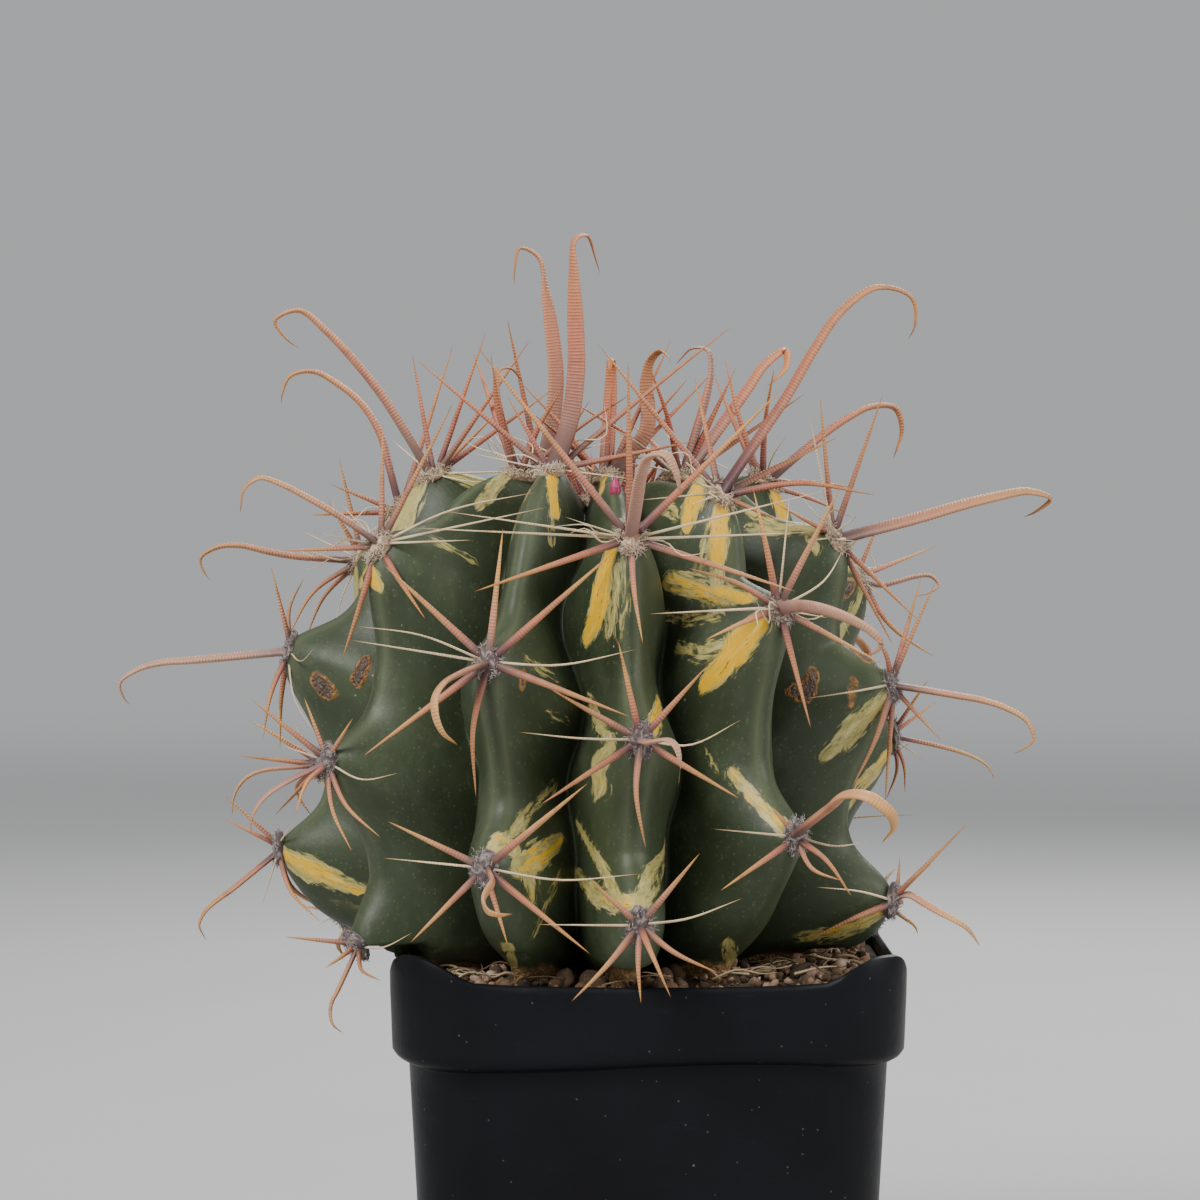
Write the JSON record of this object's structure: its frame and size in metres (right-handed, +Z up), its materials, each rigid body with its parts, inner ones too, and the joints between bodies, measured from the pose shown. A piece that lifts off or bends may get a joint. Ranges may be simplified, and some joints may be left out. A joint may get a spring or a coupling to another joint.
{
  "type": "potted barrel cactus",
  "caption": "Variegated barrel cactus with swollen ribs and tufts of hooked and straight spines, standing in grit in a thin square black nursery pot.",
  "frame": {"origin": "middle of the pot's base, on the surface it stands on", "axes": "+Z up through the pot and the plant, -Y the front seen in the picture, +X to the viewer's right"},
  "size_m": [0.2094, 0.1894, 0.2619],
  "materials": {
    "pot_plastic": "satin black, faintly blue, dusty",
    "grit": "dry brown and tan gravel",
    "skin": "waxy grey-green with cream and yellow variegation",
    "spine": "dull pinkish tan horn, ringed"
  },
  "bodies": {
    "root": {"pot": "pot_plastic", "soil": "grit", "cactus_body": "skin", "spines_A0": "spine", "spines_A1": "spine", "spines_A2": "spine", "spines_A3": "spine", "spines_D0": "spine", "spines_D1": "spine", "spines_D2": "spine", "spines_G0": "spine", "spines_G1": "spine", "spines_G2": "spine", "spines_G3": "spine", "spines_H0": "spine", "spines_H1": "spine", "spines_H2": "spine", "spines_H3": "spine", "spines_I0": "spine", "spines_I1": "spine", "spines_I2": "spine", "spines_J0": "spine", "spines_J1": "spine", "spines_J2": "spine", "spines_J3": "spine", "spines_K0": "spine", "spines_K1": "spine", "spines_K2": "spine", "spines_F0": "spine", "spines_F1": "spine", "spines_F2": "spine", "spines_F3": "spine", "spines_E0": "spine", "spines_E1": "spine", "spines_E2": "spine", "spines_C0": "spine", "spines_C1": "spine", "spines_C2": "spine", "spines_C3": "spine", "spines_B0": "spine", "spines_B1": "spine", "spines_B2": "spine"}
  },
  "joints": []
}
